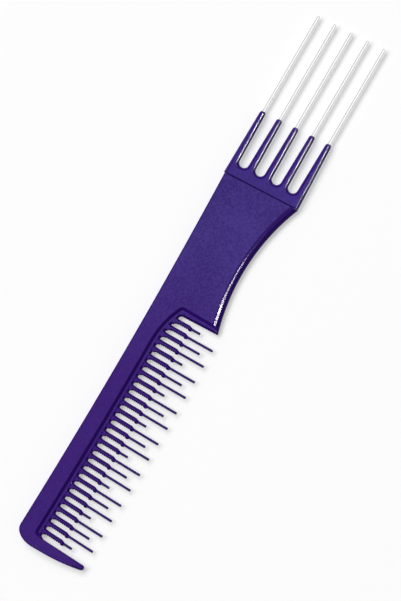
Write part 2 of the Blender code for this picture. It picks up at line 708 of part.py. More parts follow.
def build():
    """Model the whole comb."""
    clear_scene()
    parts = new_collection("teasing_comb")
    workshop = new_collection("workshop")
    acetal = make_material("violet_acetal", ACETAL_COLOUR, ACETAL_ROUGHNESS, 0)
    head_acetal = make_material("violet_acetal_gloss", ACETAL_COLOUR, HEAD_ROUGHNESS, 0)
    steel = make_material("stainless_steel", STEEL_COLOUR, STEEL_ROUGHNESS, 1)
    pieces = [(comb_body(workshop), acetal), (lift_head(workshop), head_acetal)]
    pieces += [(prong(index, workshop), steel) for index in range(PRONG_COUNT)]
    for obj, material in pieces:
        workshop.objects.unlink(obj)
        finish(obj, material, parts)
    bpy.data.collections.remove(workshop)


build()
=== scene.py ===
"""Looks of the teasing comb: its mouldings, prongs, finishes, camera and light.

Every piece is drawn in the comb's drawing frame first: x from the end tooth's outer face, y down
from the back edge and z from the middle of the thickness. It is then given the slight bow of the
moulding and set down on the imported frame. All lengths are in metres.
"""

import logging
import math
from contextlib import contextmanager
from dataclasses import dataclass
from enum import Enum
from typing import Callable, Iterable, Iterator, Sequence

import bpy
from mathutils import Matrix, Vector


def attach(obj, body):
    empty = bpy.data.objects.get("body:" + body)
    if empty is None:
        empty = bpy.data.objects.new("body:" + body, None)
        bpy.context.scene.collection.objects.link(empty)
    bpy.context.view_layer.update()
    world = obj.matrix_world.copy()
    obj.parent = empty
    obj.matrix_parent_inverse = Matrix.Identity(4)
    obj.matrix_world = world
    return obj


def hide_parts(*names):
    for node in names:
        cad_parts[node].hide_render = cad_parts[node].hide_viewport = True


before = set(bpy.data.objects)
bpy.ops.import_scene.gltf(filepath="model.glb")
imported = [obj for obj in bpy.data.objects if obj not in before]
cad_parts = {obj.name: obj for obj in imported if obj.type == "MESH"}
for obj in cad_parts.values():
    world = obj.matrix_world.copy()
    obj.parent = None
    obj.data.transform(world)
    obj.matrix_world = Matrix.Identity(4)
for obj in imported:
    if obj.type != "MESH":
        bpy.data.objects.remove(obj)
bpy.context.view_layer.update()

LOG = logging.getLogger("comb")
ROOT_BODY = "root"
TINY = 1e-6
FLAT_ANGLE = math.radians(0.01)
RIGHT_ANGLE = math.radians(90)
ROUND = 0.5
DOME_SHARE = 0.998
ROD_SIDES = 32
STACK_SPACING = 3
FINE_SHARE = 0.7
MARK_BAND = (0.3, 0.7)
SMUDGE_BAND = (0.35, 0.7)

Piece = bpy.types.Object
Socket = bpy.types.NodeSocket
NodeTree = bpy.types.NodeTree
Point2 = tuple[float, float]
Colour = tuple[float, float, float, float]
EdgeTest = Callable[[Vector, Vector], float]


def arc(centre: Point2, radii: Point2, start: float, end: float, steps: int) -> list[Point2]:
    """Lay points along an arc or a part of an ellipse.

    Args:
        centre: Middle of the arc.
        radii: Half widths of the ellipse along x and y.
        start: First angle, in degrees.
        end: Last angle, in degrees.
        steps: Number of steps between the first and the last point.

    Returns:
        The points, both ends included.
    """
    points = []
    for step in range(steps + 1):
        angle = math.radians(start + (end - start) * step / steps)
        points.append((centre[0] + radii[0] * math.cos(angle), centre[1] + radii[1] * math.sin(angle)))
    return points


def spread(start: float, end: float, step: float) -> list[float]:
    """Place values from start to end, both included, about one step apart.

    Args:
        start: First value.
        end: Last value.
        step: Distance aimed at between neighbours.

    Returns:
        The evenly spread values.
    """
    count = max(1, round(abs(end - start) / step))
    return [start + (end - start) * index / count for index in range(count + 1)]


@dataclass(frozen=True)
class CombPlan:
    """Sizes and lines of the comb that more than one piece follows."""

    end_tooth_width: float = 0.004
    end_gap: float = 0.0025
    tooth_pitch: float = 0.002965
    tooth_count: int = 29
    last_gap: float = 0.00225
    flange_width: float = 0.0025
    flange_slant: float = math.radians(2.3)
    thickness: float = 0.0036
    web_half_thickness: float = 0.001
    web_slope: float = 0.0011
    web_width: float = 0.0022
    shoulder_depth: float = 0.006
    sweep_radius: float = 0.033
    sweep_length: float = 0.0149
    shoulder_corner: float = 0.0014
    handle_length: float = 0.047
    head_length: float = 0.02445
    head_width: float = 0.0279
    head_proud: float = 0.00035
    edge_proud: float = 0.00018
    head_slant: float = math.radians(2.7)
    tip_slant: float = math.radians(3.6)
    arch_rise: float = 0.00613
    waist_to_corner: float = 0.0293
    bow_radius: float = 2.17
    bow_low_share: float = 0.508
    prong_count: int = 5
    prong_radius: float = 0.0006
    prong_reach: float = 0.03675
    first_prong_inset: float = 0.0014
    last_prong_inset: float = 0.00202
    prong_embed: float = 0.01925
    joint_gap: float = 0.00005
    tongue_length: float = 0.006
    tongue_wall: float = 0.0012

    @property
    def half_thickness(self) -> float:
        """Half the thickness of the main moulding."""
        return self.thickness / 2

    @property
    def first_tooth_x(self) -> float:
        """Place of the first tooth of the row."""
        return self.end_tooth_width + self.end_gap

    @property
    def last_tooth_x(self) -> float:
        """Place of the last tooth of the row."""
        return self.first_tooth_x + (self.tooth_count - 1) * self.tooth_pitch

    @property
    def flange_x(self) -> float:
        """Place of the flange's inner face."""
        return self.last_tooth_x + self.last_gap

    @property
    def wall_x(self) -> float:
        """Place where the handle's full thickness starts."""
        return self.flange_x + self.flange_width

    @property
    def body_length(self) -> float:
        """Length of the comb body, up to the line where the lift head starts."""
        return self.wall_x + self.handle_length

    @property
    def sweep_start_x(self) -> float:
        """Place where the shoulder starts to sweep down."""
        return self.wall_x - self.sweep_length

    @property
    def edge_corner_depth(self) -> float:
        """Depth of the arched edge's corner at the lift head."""
        return self.head_width - self.head_proud + self.edge_proud

    @property
    def waist_x(self) -> float:
        """Place of the handle's narrowest part."""
        return self.body_length + self.head_width / 2 * math.tan(self.head_slant) - self.waist_to_corner

    @property
    def waist_width(self) -> float:
        """Width of the handle's narrowest part."""
        return self.edge_corner_depth - self.arch_rise

    @property
    def edge_radius(self) -> float:
        """Radius of the handle's arched edge."""
        return (self.waist_to_corner ** 2 + self.arch_rise ** 2) / (2 * self.arch_rise)

    @property
    def prong_pitch(self) -> float:
        """Distance between neighbouring prongs."""
        inner_width = self.head_width - self.first_prong_inset - self.last_prong_inset
        return inner_width / (self.prong_count - 1)

    @property
    def whole_length(self) -> float:
        """Length of the whole comb."""
        lowest_prong = self.prong_y(self.prong_count - 1)
        tip_lead = -lowest_prong * math.tan(self.tip_slant)
        return self.body_length + self.head_length + self.prong_reach + tip_lead

    def prong_y(self, index: int) -> float:
        """Height of a prong's axis above the comb's middle line."""
        return self.head_width / 2 - self.first_prong_inset - index * self.prong_pitch

    def shoulder(self, x: float) -> float:
        """Depth of the shoulder below the back edge."""
        run = max(0.0, min(x, self.wall_x) - self.sweep_start_x)
        return self.shoulder_depth + self.sweep_radius - math.sqrt(self.sweep_radius ** 2 - run ** 2)

    def gap_root(self, x: float) -> float:
        """Depth of the roots of the gaps between the teeth."""
        return self.shoulder(x) + self.web_width

    def arched_edge(self, x: float) -> float:
        """Depth of the handle's arched edge."""
        fall = math.sqrt(self.edge_radius ** 2 - (x - self.waist_x) ** 2)
        return self.waist_width + self.edge_radius - fall

    def back_height(self, x: float) -> float:
        """Height of the bowed back edge above the comb's middle line."""
        low = self.body_length * self.bow_low_share
        rise = (min(x, self.body_length) - low) ** 2 / (2 * self.bow_radius)
        rise_at_head = (self.body_length - low) ** 2 / (2 * self.bow_radius)
        return self.head_width / 2 - self.head_proud - rise_at_head + rise

    def head_line_x(self, y: float) -> float:
        """Place of the line between handle and head, at a height from the comb's middle line."""
        return self.body_length - y * math.tan(self.head_slant)

    def finger_tip_x(self, y: float) -> float:
        """Place of a finger's tip, on a line that slants across the head."""
        return self.body_length + self.head_length - y * math.tan(self.tip_slant)

    def tongue(self, grown: float) -> list[Point2]:
        """Plan outline of the head's tongue, or of its pocket.

        Args:
            grown: Clearance to add all round for the pocket.

        Returns:
            The four corners.
        """
        half = self.head_width / 2 - self.head_proud - self.tongue_wall + grown
        inner_x = self.body_length - self.tongue_length - grown
        top = self.back_height(inner_x) - self.tongue_wall + grown
        low = self.back_height(inner_x) - self.arched_edge(inner_x) + self.tongue_wall - grown
        outer_x = self.body_length + self.tongue_wall
        return [(inner_x, low), (outer_x, -half), (outer_x, half), (inner_x, top)]

    def bow(self, piece: Piece) -> None:
        """Move the straight comb body to its bowed shape, measured from the comb's middle line."""
        for vertex in piece.data.vertices:
            vertex.co.y += self.back_height(vertex.co.x)
        piece.data.update()

    def set_down(self, piece: Piece) -> None:
        """Move a piece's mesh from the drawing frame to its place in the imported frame."""
        place = (-self.whole_length / 2, self.edge_proud / 2, self.half_thickness)
        piece.data.transform(Matrix.Translation(place))
        piece.data.update()


def take(piece: Piece) -> None:
    """Deselect everything and pick up one piece."""
    bpy.ops.object.select_all(action="DESELECT")
    piece.select_set(True)
    bpy.context.view_layer.objects.active = piece


@contextmanager
def editing(piece: Piece) -> Iterator[None]:
    """Hold a piece in edit mode, with its whole mesh selected at the start."""
    take(piece)
    bpy.ops.object.mode_set(mode="EDIT")
    bpy.ops.mesh.select_all(action="SELECT")
    yield
    bpy.ops.object.mode_set(mode="OBJECT")


def extrude(*step: float) -> None:
    """Extrude what is selected by one step."""
    bpy.ops.mesh.extrude_region_move(TRANSFORM_OT_translate={"value": step})


def face_outwards(piece: Piece) -> None:
    """Turn all faces of a closed piece outwards."""
    with editing(piece):
        bpy.ops.mesh.normals_make_consistent(inside=False)


def start_disc(name: str, points: int, tilt: float = 0.0) -> Piece:
    """Start a piece as a filled circle.

    Args:
        name: Name of the new piece.
        points: Number of points round the circle.
        tilt: Turn about X.

    Returns:
        The disc, one unit in radius.
    """
    bpy.ops.object.select_all(action="DESELECT")
    bpy.ops.mesh.primitive_circle_add(vertices=points, radius=1, fill_type="NGON", rotation=(tilt, 0, 0))
    piece = bpy.context.object
    piece.name = piece.data.name = name
    return piece


def start_rod(radius: float, length: float, middle: Sequence[float]) -> Piece:
    """Start a piece as a round rod along X."""
    bpy.ops.object.select_all(action="DESELECT")
    bpy.ops.mesh.primitive_cylinder_add(vertices=ROD_SIDES, radius=radius, depth=length, location=middle,
                                        rotation=(0, RIGHT_ANGLE, 0))
    return bpy.context.object


def cut_blank(name: str, outline: Sequence[Point2], low: float, high: float) -> Piece:
    """Cut a flat blank: a filled circle drawn out to an outline and extruded to its thickness.

    Args:
        name: Name of the new piece.
        outline: Plan points of the blank.
        low: Height of its underside.
        high: Height of its top.

    Returns:
        The closed blank.
    """
    piece = start_disc(name, len(outline))
    for vertex, (x, y) in zip(piece.data.vertices, outline):
        vertex.co = (x, y, low)
    with editing(piece):
        extrude(0, 0, high - low)
    face_outwards(piece)
    return piece


def skin(name: str, rings: Sequence[tuple[float, Sequence[Point2]]]) -> Piece:
    """Extrude a filled circle step by step, and draw each ring out to an outline of its own.

    Args:
        name: Name of the new piece.
        rings: Height and plan points of every ring from the underside up, as many points each.

    Returns:
        The closed piece.
    """
    sides = len(rings[0][1])
    piece = start_disc(name, sides)
    with editing(piece):
        for _ in rings[1:]:
            extrude(0, 0, 1)
    order = [math.atan2(vertex.co.y, vertex.co.x) for vertex in piece.data.vertices[:sides]]
    for vertex in piece.data.vertices:
        turn = math.atan2(vertex.co.y, vertex.co.x)
        height, outline = rings[round(vertex.co.z)]
        vertex.co = (*outline[min(range(sides), key=lambda place: abs(order[place] - turn))], height)
    face_outwards(piece)
    return piece


def apply_modifier(piece: Piece, kind: str, **settings: object) -> None:
    """Add a modifier to a piece and apply it.

    Args:
        piece: The piece to work on.
        kind: Blender's type name of the modifier.
        **settings: Values for the modifier's own settings.
    """
    take(piece)
    modifier = piece.modifiers.new(kind.title(), kind)
    for name, value in settings.items():
        setattr(modifier, name, value)
    bpy.ops.object.modifier_apply(modifier=modifier.name)


def combine(piece: Piece, tool: Piece, operation: str) -> None:
    """Cut a tool out of a piece or fuse it on, and throw the tool away."""
    apply_modifier(piece, "BOOLEAN", operation=operation, solver="EXACT", object=tool)
    bpy.data.objects.remove(tool, do_unlink=True)


def round_edges(piece: Piece, radius_at: EdgeTest, largest: float, segments: int,
                profile: float = ROUND) -> None:
    """Round the edges that a test gives a radius, each by its own amount, in one pass.

    Args:
        piece: The piece to round.
        radius_at: Gives an edge's radius from its two ends, or zero.
        largest: The largest radius that the test gives.
        segments: Number of faces across each rounding.
        profile: Blender's shape of the rounding, from a plain slope at 0.25 to round at 0.5.
    """
    mesh = piece.data
    weights = mesh.attributes.new("bevel_weight_edge", "FLOAT", "EDGE")
    for edge in mesh.edges:
        start, end = (mesh.vertices[index].co for index in edge.vertices)
        weights.data[edge.index].value = radius_at(start, end) / largest
    apply_modifier(piece, "BEVEL", limit_method="WEIGHT", width=largest, segments=segments,
                   profile=profile, use_clamp_overlap=False)
    left = piece.data.attributes.get("bevel_weight_edge")
    if left is not None:
        piece.data.attributes.remove(left)


def dome_edges(piece: Piece, radius_at: EdgeTest, reach: float, segments: int, profile: float) -> None:
    """Round the rims of a flat blank to full half ellipses that meet at its middle height.

    Args:
        piece: A blank that is as thick above the middle height as below.
        radius_at: Gives an edge's reach in plan from its two ends, or zero.
        reach: The largest reach that the test gives, which is where the rounding stays upright.
        segments: Number of faces across the upper half of the rounding.
        profile: Blender's shape of the rounding, as for round_edges.
    """
    half = max(vertex.co.z for vertex in piece.data.vertices)
    piece.data.transform(Matrix.Diagonal((1, 1, reach / half, 1)))
    round_edges(piece, radius_at, reach * DOME_SHARE, segments, profile)
    piece.data.transform(Matrix.Diagonal((1, 1, half / reach, 1)))


def score(piece: Piece, place: Sequence[float], normal: Sequence[float]) -> None:
    """Score a line of points right round a piece, where a plane passes through it."""
    with editing(piece):
        bpy.ops.mesh.bisect(plane_co=place, plane_no=normal)


def ring_stack(name: str, columns: int, rings: int, sides: int) -> Piece:
    """Extrude a row of filled circles step by step into stacks of rings, ready to be shaped.

    Args:
        name: Name of the new piece.
        columns: Number of stacks.
        rings: Number of rings in each stack.
        sides: Number of points round each ring.

    Returns:
        The stacks, one unit tall a ring and run down -Y, with an even spacing along X.
    """
    piece = start_disc(name, sides, RIGHT_ANGLE)
    bpy.ops.object.transform_apply(location=False, rotation=True, scale=False)
    apply_modifier(piece, "ARRAY", count=columns, use_relative_offset=False, use_constant_offset=True,
                   constant_offset_displace=(STACK_SPACING, 0, 0))
    with editing(piece):
        for _ in range(rings - 1):
            extrude(0, -1, 0)
    return piece


def clean(piece: Piece) -> None:
    """Merge doubled points and join the flat faces that a cut left in pieces."""
    with editing(piece):
        bpy.ops.mesh.remove_doubles(threshold=TINY)
        bpy.ops.mesh.dissolve_limited(angle_limit=FLAT_ANGLE)
        bpy.ops.mesh.normals_make_consistent(inside=False)


def polish(piece: Piece, sharp_above: float) -> None:
    """Shade a piece smooth up to an angle in degrees, with its wide faces kept flat."""
    take(piece)
    bpy.ops.object.shade_smooth_by_angle(angle=math.radians(sharp_above), keep_sharp_edges=False)
    apply_modifier(piece, "WEIGHTED_NORMAL", keep_sharp=True, weight=100)


def dress(piece: Piece, material: bpy.types.Material, node: str) -> None:
    """Dress a finished piece and put it in the frame in place of its CAD node.

    Args:
        piece: The finished piece, in place.
        material: Its finish.
        node: The CAD node that it stands for.
    """
    piece.data.materials.clear()
    piece.data.materials.append(material)
    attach(piece, ROOT_BODY)
    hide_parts(node)
    LOG.info("%s: %d faces in place of %s", piece.name, len(piece.data.polygons), node)


@dataclass
class ToothRow:
    """The row of teeth: each has a wide blade with a saw edge, a barb and a slim stem."""

    plan: CombPlan
    blade_length: float = 0.0067
    saw_side: float = 0.00073
    plain_side: float = 0.0009
    flank: float = 0.0005
    corner: float = 0.00012
    edge_height: float = 0.00008
    brow_shares: tuple[Point2, ...] = ((-0.55, 0.75), (0.1, 0.16), (1.0, 0.0))
    row_power: float = 1.5
    notch_flank_share: float = 0.6
    tip_turn: float = 80
    barb_reach: float = 0.00098
    barb_length: float = 0.00045
    barb_back: float = 0.0007
    stem_side: float = 0.00045
    stem_flank: float = 0.00031
    neck_length: float = 0.0014
    arch_height: float = 0.0016
    arch_saw_share: float = 0.56
    arch_plain_share: float = 0.18
    arch_steps: int = 9
    hold: float = 0.0012
    notch_pitch: float = 0.00073
    notch_depth: float = 0.00025
    notch_width: float = 0.00056
    notch_count: int = 8
    notch_room: float = 0.0008
    tip_round: float = 0.0004
    tip_steps: int = 4
    root_half_thickness: float = 0.0009
    tip_half_thickness: float = 0.0007
    long_stem: float = 0.00942
    stem_shares: tuple[float, ...] = (0.309, 1.0, 0.65, 1.0)
    fan_radius: float = 1.25
    fan_upright_share: float = 0.76
    sides: int = 16

    @property
    def blade_end(self) -> float:
        """Depth of the blades' ends."""
        return self.plan.shoulder_depth + self.plan.web_width + self.blade_length

    @property
    def stem_start(self) -> float:
        """Depth where the slim stems start."""
        return self.blade_end + self.neck_length

    def half_thickness(self, depth: float, root: float) -> float:
        """Half the thickness at a depth, thinning evenly from the root to the longest tips."""
        along = (depth - root) / (self.stem_start + self.long_stem - root)
        return self.root_half_thickness + (self.tip_half_thickness - self.root_half_thickness) * along

    def section(self, saw_side: float, plain_side: float, flank: float, half: float) -> list[Point2]:
        """Lay the section of a tooth: two blunt edges and a flat strip above and below.

        Args:
            saw_side: Reach of the saw edge from the tooth's axis.
            plain_side: Reach of the plain edge.
            flank: Width of the slope between an edge and the flat strip.
            half: Half the thickness.

        Returns:
            Sixteen points of (x, z), anticlockwise from the plain edge.
        """
        corner = min(self.corner, flank / 2)
        edge = min(self.edge_height, half / 4)
        sides = []
        for side in (plain_side, saw_side):
            strip = side - flank
            brow = [(strip - corner * across, half - corner * down) for across, down in self.brow_shares]
            sides.append([(side, edge)] + brow)
        top = sides[0] + [(-x, z) for x, z in reversed(sides[1])]
        return top + [(x, -z) for x, z in reversed(top)]

    def blade_rows(self, root: float) -> list[tuple[float, float]]:
        """List (depth, notch cut) from the gap's root to the blade's end."""
        room = self.blade_end - root - self.notch_room
        fitting = min(self.notch_count, int(room / self.notch_pitch + TINY))
        saw_start = self.blade_end - fitting * self.notch_pitch
        plain_rows = self.arch_steps + 3 * (self.notch_count - fitting)
        falls = [(row / plain_rows) ** self.row_power for row in range(plain_rows)]
        rows = [(root + (saw_start - root) * fall, 0.0) for fall in falls]
        for notch in range(fitting):
            middle = saw_start + (notch + 0.5) * self.notch_pitch
            half_width = self.notch_width / 2
            rows += [(middle - half_width, 0.0), (middle, self.notch_depth), (middle + half_width, 0.0)]
        return rows

    def rings(self, x: float, stem: float) -> list[tuple[float, list[Point2]]]:
        """List (depth, section) down one tooth.

        Args:
            x: Place of the tooth in the row.
            stem: Length of its slim stem.

        Returns:
            The rings from inside the web to the tip, as many for every tooth.
        """
        root = self.plan.gap_root(x)
        gap = self.plan.tooth_pitch - self.saw_side - self.plain_side
        rows = []
        for depth, cut in [(root - self.hold, 0.0)] + self.blade_rows(root):
            fall = min(max((depth - root) / self.arch_height, 0.0), 1.0)
            arch = 1 - math.sqrt(1 - (1 - fall) ** 2)
            saw = self.saw_side + gap * self.arch_saw_share * arch - cut
            plain = self.plain_side + gap * self.arch_plain_share * arch
            rows.append((depth, saw, plain, self.flank - cut * self.notch_flank_share))
        side = self.stem_side
        barb_flank = self.flank + self.barb_reach - self.saw_side
        tip = self.stem_start + stem
        rows += [
            (self.blade_end, self.saw_side, self.plain_side, self.flank),
            (self.blade_end + self.barb_length, self.barb_reach, (self.plain_side + side) / 2, barb_flank),
            (self.blade_end + self.barb_length + self.barb_back, (self.barb_reach + side) / 2, side,
             self.stem_flank),
            (self.stem_start, side, side, self.stem_flank),
            (tip - self.tip_round, side, side, self.stem_flank),
        ]
        rings = [(row[0], self.section(*row[1:], self.half_thickness(row[0], root))) for row in rows]
        last = rings[-1][1]
        for step in range(1, self.tip_steps + 1):
            angle = math.radians(self.tip_turn * step / self.tip_steps)
            depth = tip - self.tip_round * (1 - math.sin(angle))
            rings.append((depth, [(across * math.cos(angle), z * math.cos(angle)) for across, z in last]))
        return rings

    def build(self) -> Piece:
        """Extrude all the teeth side by side, then give every ring its place, section and lean."""
        teeth = []
        for index in range(self.plan.tooth_count):
            x = self.plan.first_tooth_x + index * self.plan.tooth_pitch
            stem = self.long_stem * self.stem_shares[index % len(self.stem_shares)]
            teeth.append((x, self.rings(x, stem)))
        row = ring_stack("teeth", len(teeth), len(teeth[0][1]), self.sides)
        row_length = self.plan.last_tooth_x - self.plan.first_tooth_x
        upright_x = self.plan.first_tooth_x + row_length * self.fan_upright_share
        for vertex in row.data.vertices:
            column = round(vertex.co.x / STACK_SPACING)
            turn = math.atan2(vertex.co.z, vertex.co.x - STACK_SPACING * column)
            x, rings = teeth[column]
            depth, section = rings[round(-vertex.co.y)]
            across, height = section[round(turn * self.sides / math.tau) % self.sides]
            lean = (x - upright_x) / self.fan_radius
            root = self.plan.gap_root(x)
            place = Matrix.Rotation(lean, 2, "Z") @ Vector((across, root - depth))
            vertex.co = (x + place.x, place.y - root, height)
        clean(row)
        return row


@dataclass
class CombMoulding:
    """Spine, end tooth, web, teeth and handle, moulded in one."""

    plan: CombPlan
    rim: float = 0.00045
    tip_rim: float = 0.0008
    head_rim: float = 0.00012
    root_reach: float = 0.0011
    flange_reach: float = 0.0009
    gap_corner: float = 0.0011
    foot: float = 0.0001
    end_corner: Point2 = (0.00485, 0.00735)
    end_tip_radius: float = 0.00095
    end_tooth_inset: float = 0.00173
    taper_depth: float = 0.012
    end_sweep_radius: float = 0.066
    end_tip_thickness: float = 0.0022
    edge_reach: float = 0.0027
    edge_bevel: float = 0.36
    flange_edge_reach: float = 0.0015
    overlap: float = 0.001
    stock: float = 0.002
    cutter_bore: float = 0.02
    cutter_start: float = math.radians(52)
    cutter_sweep: float = math.radians(-76)
    cutter_step: float = math.radians(7.5)
    cutter_steps: int = 96
    body_inset: float = 0.00003
    web_inset: float = 0.00005
    pocket_clearance: float = 0.0002
    pocket_half_thickness: float = 0.0009
    rim_segments: int = 4
    root_segments: int = 6
    root_profile: float = 0.32
    line_step: float = 0.004
    root_step: float = 0.0008
    inner_step: float = 0.006
    sharp_above: float = 35

    @property
    def stock_depth(self) -> float:
        """Depth of the spare stock below the handle, which the arched edge is cut from."""
        return self.plan.edge_corner_depth + self.stock

    def end_tooth_outline(self) -> list[Point2]:
        """Outline of the end tooth, down its swept outer side and round the tip."""
        plan = self.plan
        depth = plan.edge_corner_depth - self.end_tooth_inset
        sweep, tip = self.end_sweep_radius, self.end_tip_radius
        turn = math.asin((depth - tip - self.taper_depth) / (sweep - tip))
        tip_x = sweep - (sweep - tip) * math.cos(turn)
        inner_run = plan.end_tooth_width - tip_x - tip
        lean = math.degrees(math.atan2(inner_run, depth - plan.gap_root(plan.end_tooth_width)))
        start = 180 + math.degrees(turn)
        side = arc((sweep, -self.taper_depth), (sweep, sweep), 180, start, 16)
        return side + arc((tip_x, tip - depth), (tip, tip), start, 360 - lean, 24)[1:]

    def shoulder_outline(self, offset: float) -> list[Point2]:
        """Outline of the shoulder from the end tooth to the handle's wall and down to the stock.

        Args:
            offset: Distance of the line from the shoulder, towards the teeth.

        Returns:
            The points from left to right.
        """
        plan = self.plan
        corner = plan.shoulder_corner
        turn = math.asin((plan.sweep_length - corner) / (plan.sweep_radius - corner))
        fall = plan.shoulder_depth + plan.sweep_radius
        corner_depth = fall - (plan.sweep_radius - corner) * math.cos(turn)
        left = (corner + plan.web_slope) / 2
        left_centre = (plan.end_tooth_width + plan.web_slope / 2 + left, -plan.shoulder_depth - left)
        points = arc(left_centre, (left - offset, left - offset), 180, 90, 8)
        top = -plan.shoulder_depth - offset
        points += [(x, top) for x in spread(left_centre[0], plan.sweep_start_x, self.line_step)[1:-1]]
        radius = plan.sweep_radius - offset
        points += arc((plan.sweep_start_x, -fall), (radius, radius), 90, 90 - math.degrees(turn), 28)
        corner_centre = (plan.wall_x - corner, -corner_depth)
        corner_radii = (corner - offset, corner - offset)
        points += arc(corner_centre, corner_radii, 90 - math.degrees(turn), 0, 14)[1:]
        return points + [(plan.wall_x - offset, -self.stock_depth)]

    def spine_outline(self, offset: float) -> list[Point2]:
        """Outline of spine, end tooth and handle, with spare stock below the handle.

        Args:
            offset: Distance of the line from the shoulder, towards the teeth.

        Returns:
            The points round the outline.
        """
        plan = self.plan
        length, height = self.end_corner
        slant = math.tan(plan.head_slant)
        end_x = plan.body_length - plan.joint_gap / 2
        top_y = plan.head_width / 2
        points = arc((length, -height), (length, height), 180, 90, 24)
        points += [(x, 0) for x in spread(length, end_x - top_y * slant, self.line_step)[1:]]
        points.append((end_x + (self.stock_depth - top_y) * slant, -self.stock_depth))
        points += self.shoulder_outline(offset)[::-1]
        points.append((plan.end_tooth_width, -plan.gap_root(plan.end_tooth_width) - self.gap_corner))
        return points + self.end_tooth_outline()[::-1]

    def spine_rim(self, start: Vector, end: Vector) -> float:
        """Radius of the spine's rim at an edge: slight at the head, none along the shoulder."""
        plan = self.plan
        middle = (start + end) / 2
        if abs(start.z - end.z) > TINY or middle.y < -self.stock_depth + TINY:
            return 0.0
        if min(start.x, end.x) > plan.body_length - plan.head_width * math.tan(plan.head_slant) \
                and abs(start.y - end.y) > self.rim:
            return self.head_rim
        rim_x = plan.wall_x + plan.web_slope / 2
        is_inner = plan.end_tooth_width - TINY < middle.x < rim_x + TINY
        is_shoulder = is_inner and middle.y < plan.web_slope / 2 - plan.shoulder_depth + TINY
        if is_shoulder or abs(start.z) < plan.half_thickness - TINY:
            return 0.0
        tip_start = plan.edge_corner_depth - self.end_tooth_inset - self.end_tip_radius
        return self.tip_rim if middle.x < plan.first_tooth_x and middle.y < -tip_start else self.rim

    def spine(self) -> Piece:
        """Spine, end tooth and handle, with the slope down to the web and the thinned end tooth."""
        plan = self.plan
        half, slope = plan.half_thickness, plan.web_slope
        fall = half - plan.web_half_thickness
        foot_height = plan.web_half_thickness - self.foot
        rim = self.spine_outline(-slope / 2)
        foot = self.spine_outline(slope / 2 + self.foot * slope / fall)
        rings = [(-half, rim), (-foot_height, foot), (foot_height, foot), (half, rim)]
        piece = skin("spine", rings)
        round_edges(piece, self.spine_rim, self.tip_rim, self.rim_segments)
        score(piece, (0, -self.taper_depth, 0), (0, 1, 0))
        depth = plan.edge_corner_depth - self.end_tooth_inset
        loss = 1 - self.end_tip_thickness / plan.thickness
        for vertex in piece.data.vertices:
            below = -vertex.co.y - self.taper_depth
            if below > 0 and vertex.co.x < plan.first_tooth_x:
                vertex.co.z *= 1 - loss * below / (depth - self.taper_depth)
        return piece

    def web(self) -> Piece:
        """Thin web that carries the teeth, sloped along the gap roots, and the flange below it."""
        plan = self.plan
        radius = self.gap_corner
        turn_x = plan.flange_x - radius
        left = radius / 2
        left_centre = (plan.end_tooth_width + left, -plan.gap_root(plan.end_tooth_width) - left)
        points = [(plan.end_tooth_width - self.overlap, left_centre[1])]
        points += arc(left_centre, (left, left), 180, 90, 8)
        places = spread(left_centre[0], plan.sweep_start_x, self.line_step)[1:]
        places += spread(plan.sweep_start_x, turn_x, self.root_step)[1:]
        points += [(x, -plan.gap_root(x)) for x in places]
        points += arc((turn_x, -plan.gap_root(turn_x) - radius), (radius, radius), 90, 0, 12)[1:]
        fall = self.stock_depth - plan.gap_root(turn_x) - radius
        flange_end_x = plan.flange_x + fall * math.tan(plan.flange_slant)
        points += [(flange_end_x, -self.stock_depth), (plan.wall_x + self.overlap, -self.stock_depth)]
        inner = spread(plan.end_tooth_width - self.overlap, plan.wall_x - self.overlap, self.inner_step)[::-1]
        points.append((plan.wall_x + self.overlap, -plan.shoulder(plan.wall_x) + self.overlap))
        points += [(x, -plan.shoulder(x) + self.overlap) for x in inner]

        def reach_at(start: Vector, end: Vector) -> float:
            """Slope the flange's edge less than the gap roots."""
            if abs(start.z - end.z) > TINY:
                return 0.0
            is_flange = start.x < plan.wall_x and (start.y + end.y) / 2 < -fall / 2
            return self.flange_reach if is_flange else self.root_reach

        piece = cut_blank("web", points, -plan.web_half_thickness, plan.web_half_thickness)
        dome_edges(piece, reach_at, self.root_reach, self.root_segments, self.root_profile)
        return piece

    def cut_edge(self, piece: Piece, half: float, reach: float, inset: float) -> None:
        """Cut the arched edge with a disc whose grooved rim leaves a round drawn towards a bevel.

        Args:
            piece: The piece to cut.
            half: Half the piece's thickness.
            reach: Width of the round in plan.
            inset: Distance of the cut inside the handle's true edge.
        """
        plan = self.plan
        outer = plan.edge_radius + reach + inset
        above = half + self.stock
        profile = [(self.cutter_bore, above), (outer, above)]
        power = 1 + self.edge_bevel
        for angle in spread(RIGHT_ANGLE, -RIGHT_ANGLE, self.cutter_step):
            height = math.copysign(half * abs(math.sin(angle)) ** power, angle)
            profile.append((outer - reach * max(0.0, math.cos(angle)) ** power, height))
        profile += [(outer, -above), (self.cutter_bore, -above)]
        centre = Vector((plan.waist_x, -plan.waist_width - plan.edge_radius, 0))
        disc = start_disc("edge_cutter", len(profile))
        start = self.cutter_start
        for vertex, (radius, z) in zip(disc.data.vertices, profile):
            vertex.co = centre + Vector((radius * math.cos(start), radius * math.sin(start), z))
        with editing(disc):
            bpy.ops.mesh.spin(steps=self.cutter_steps, angle=self.cutter_sweep, center=centre, axis=(0, 0, 1))
        face_outwards(disc)
        combine(piece, disc, "DIFFERENCE")

    def pocket(self) -> Piece:
        """Solid of the pocket that the head's tongue sits in, in the comb's own height."""
        half = self.pocket_half_thickness
        return cut_blank("pocket", self.plan.tongue(self.pocket_clearance), -half, half)

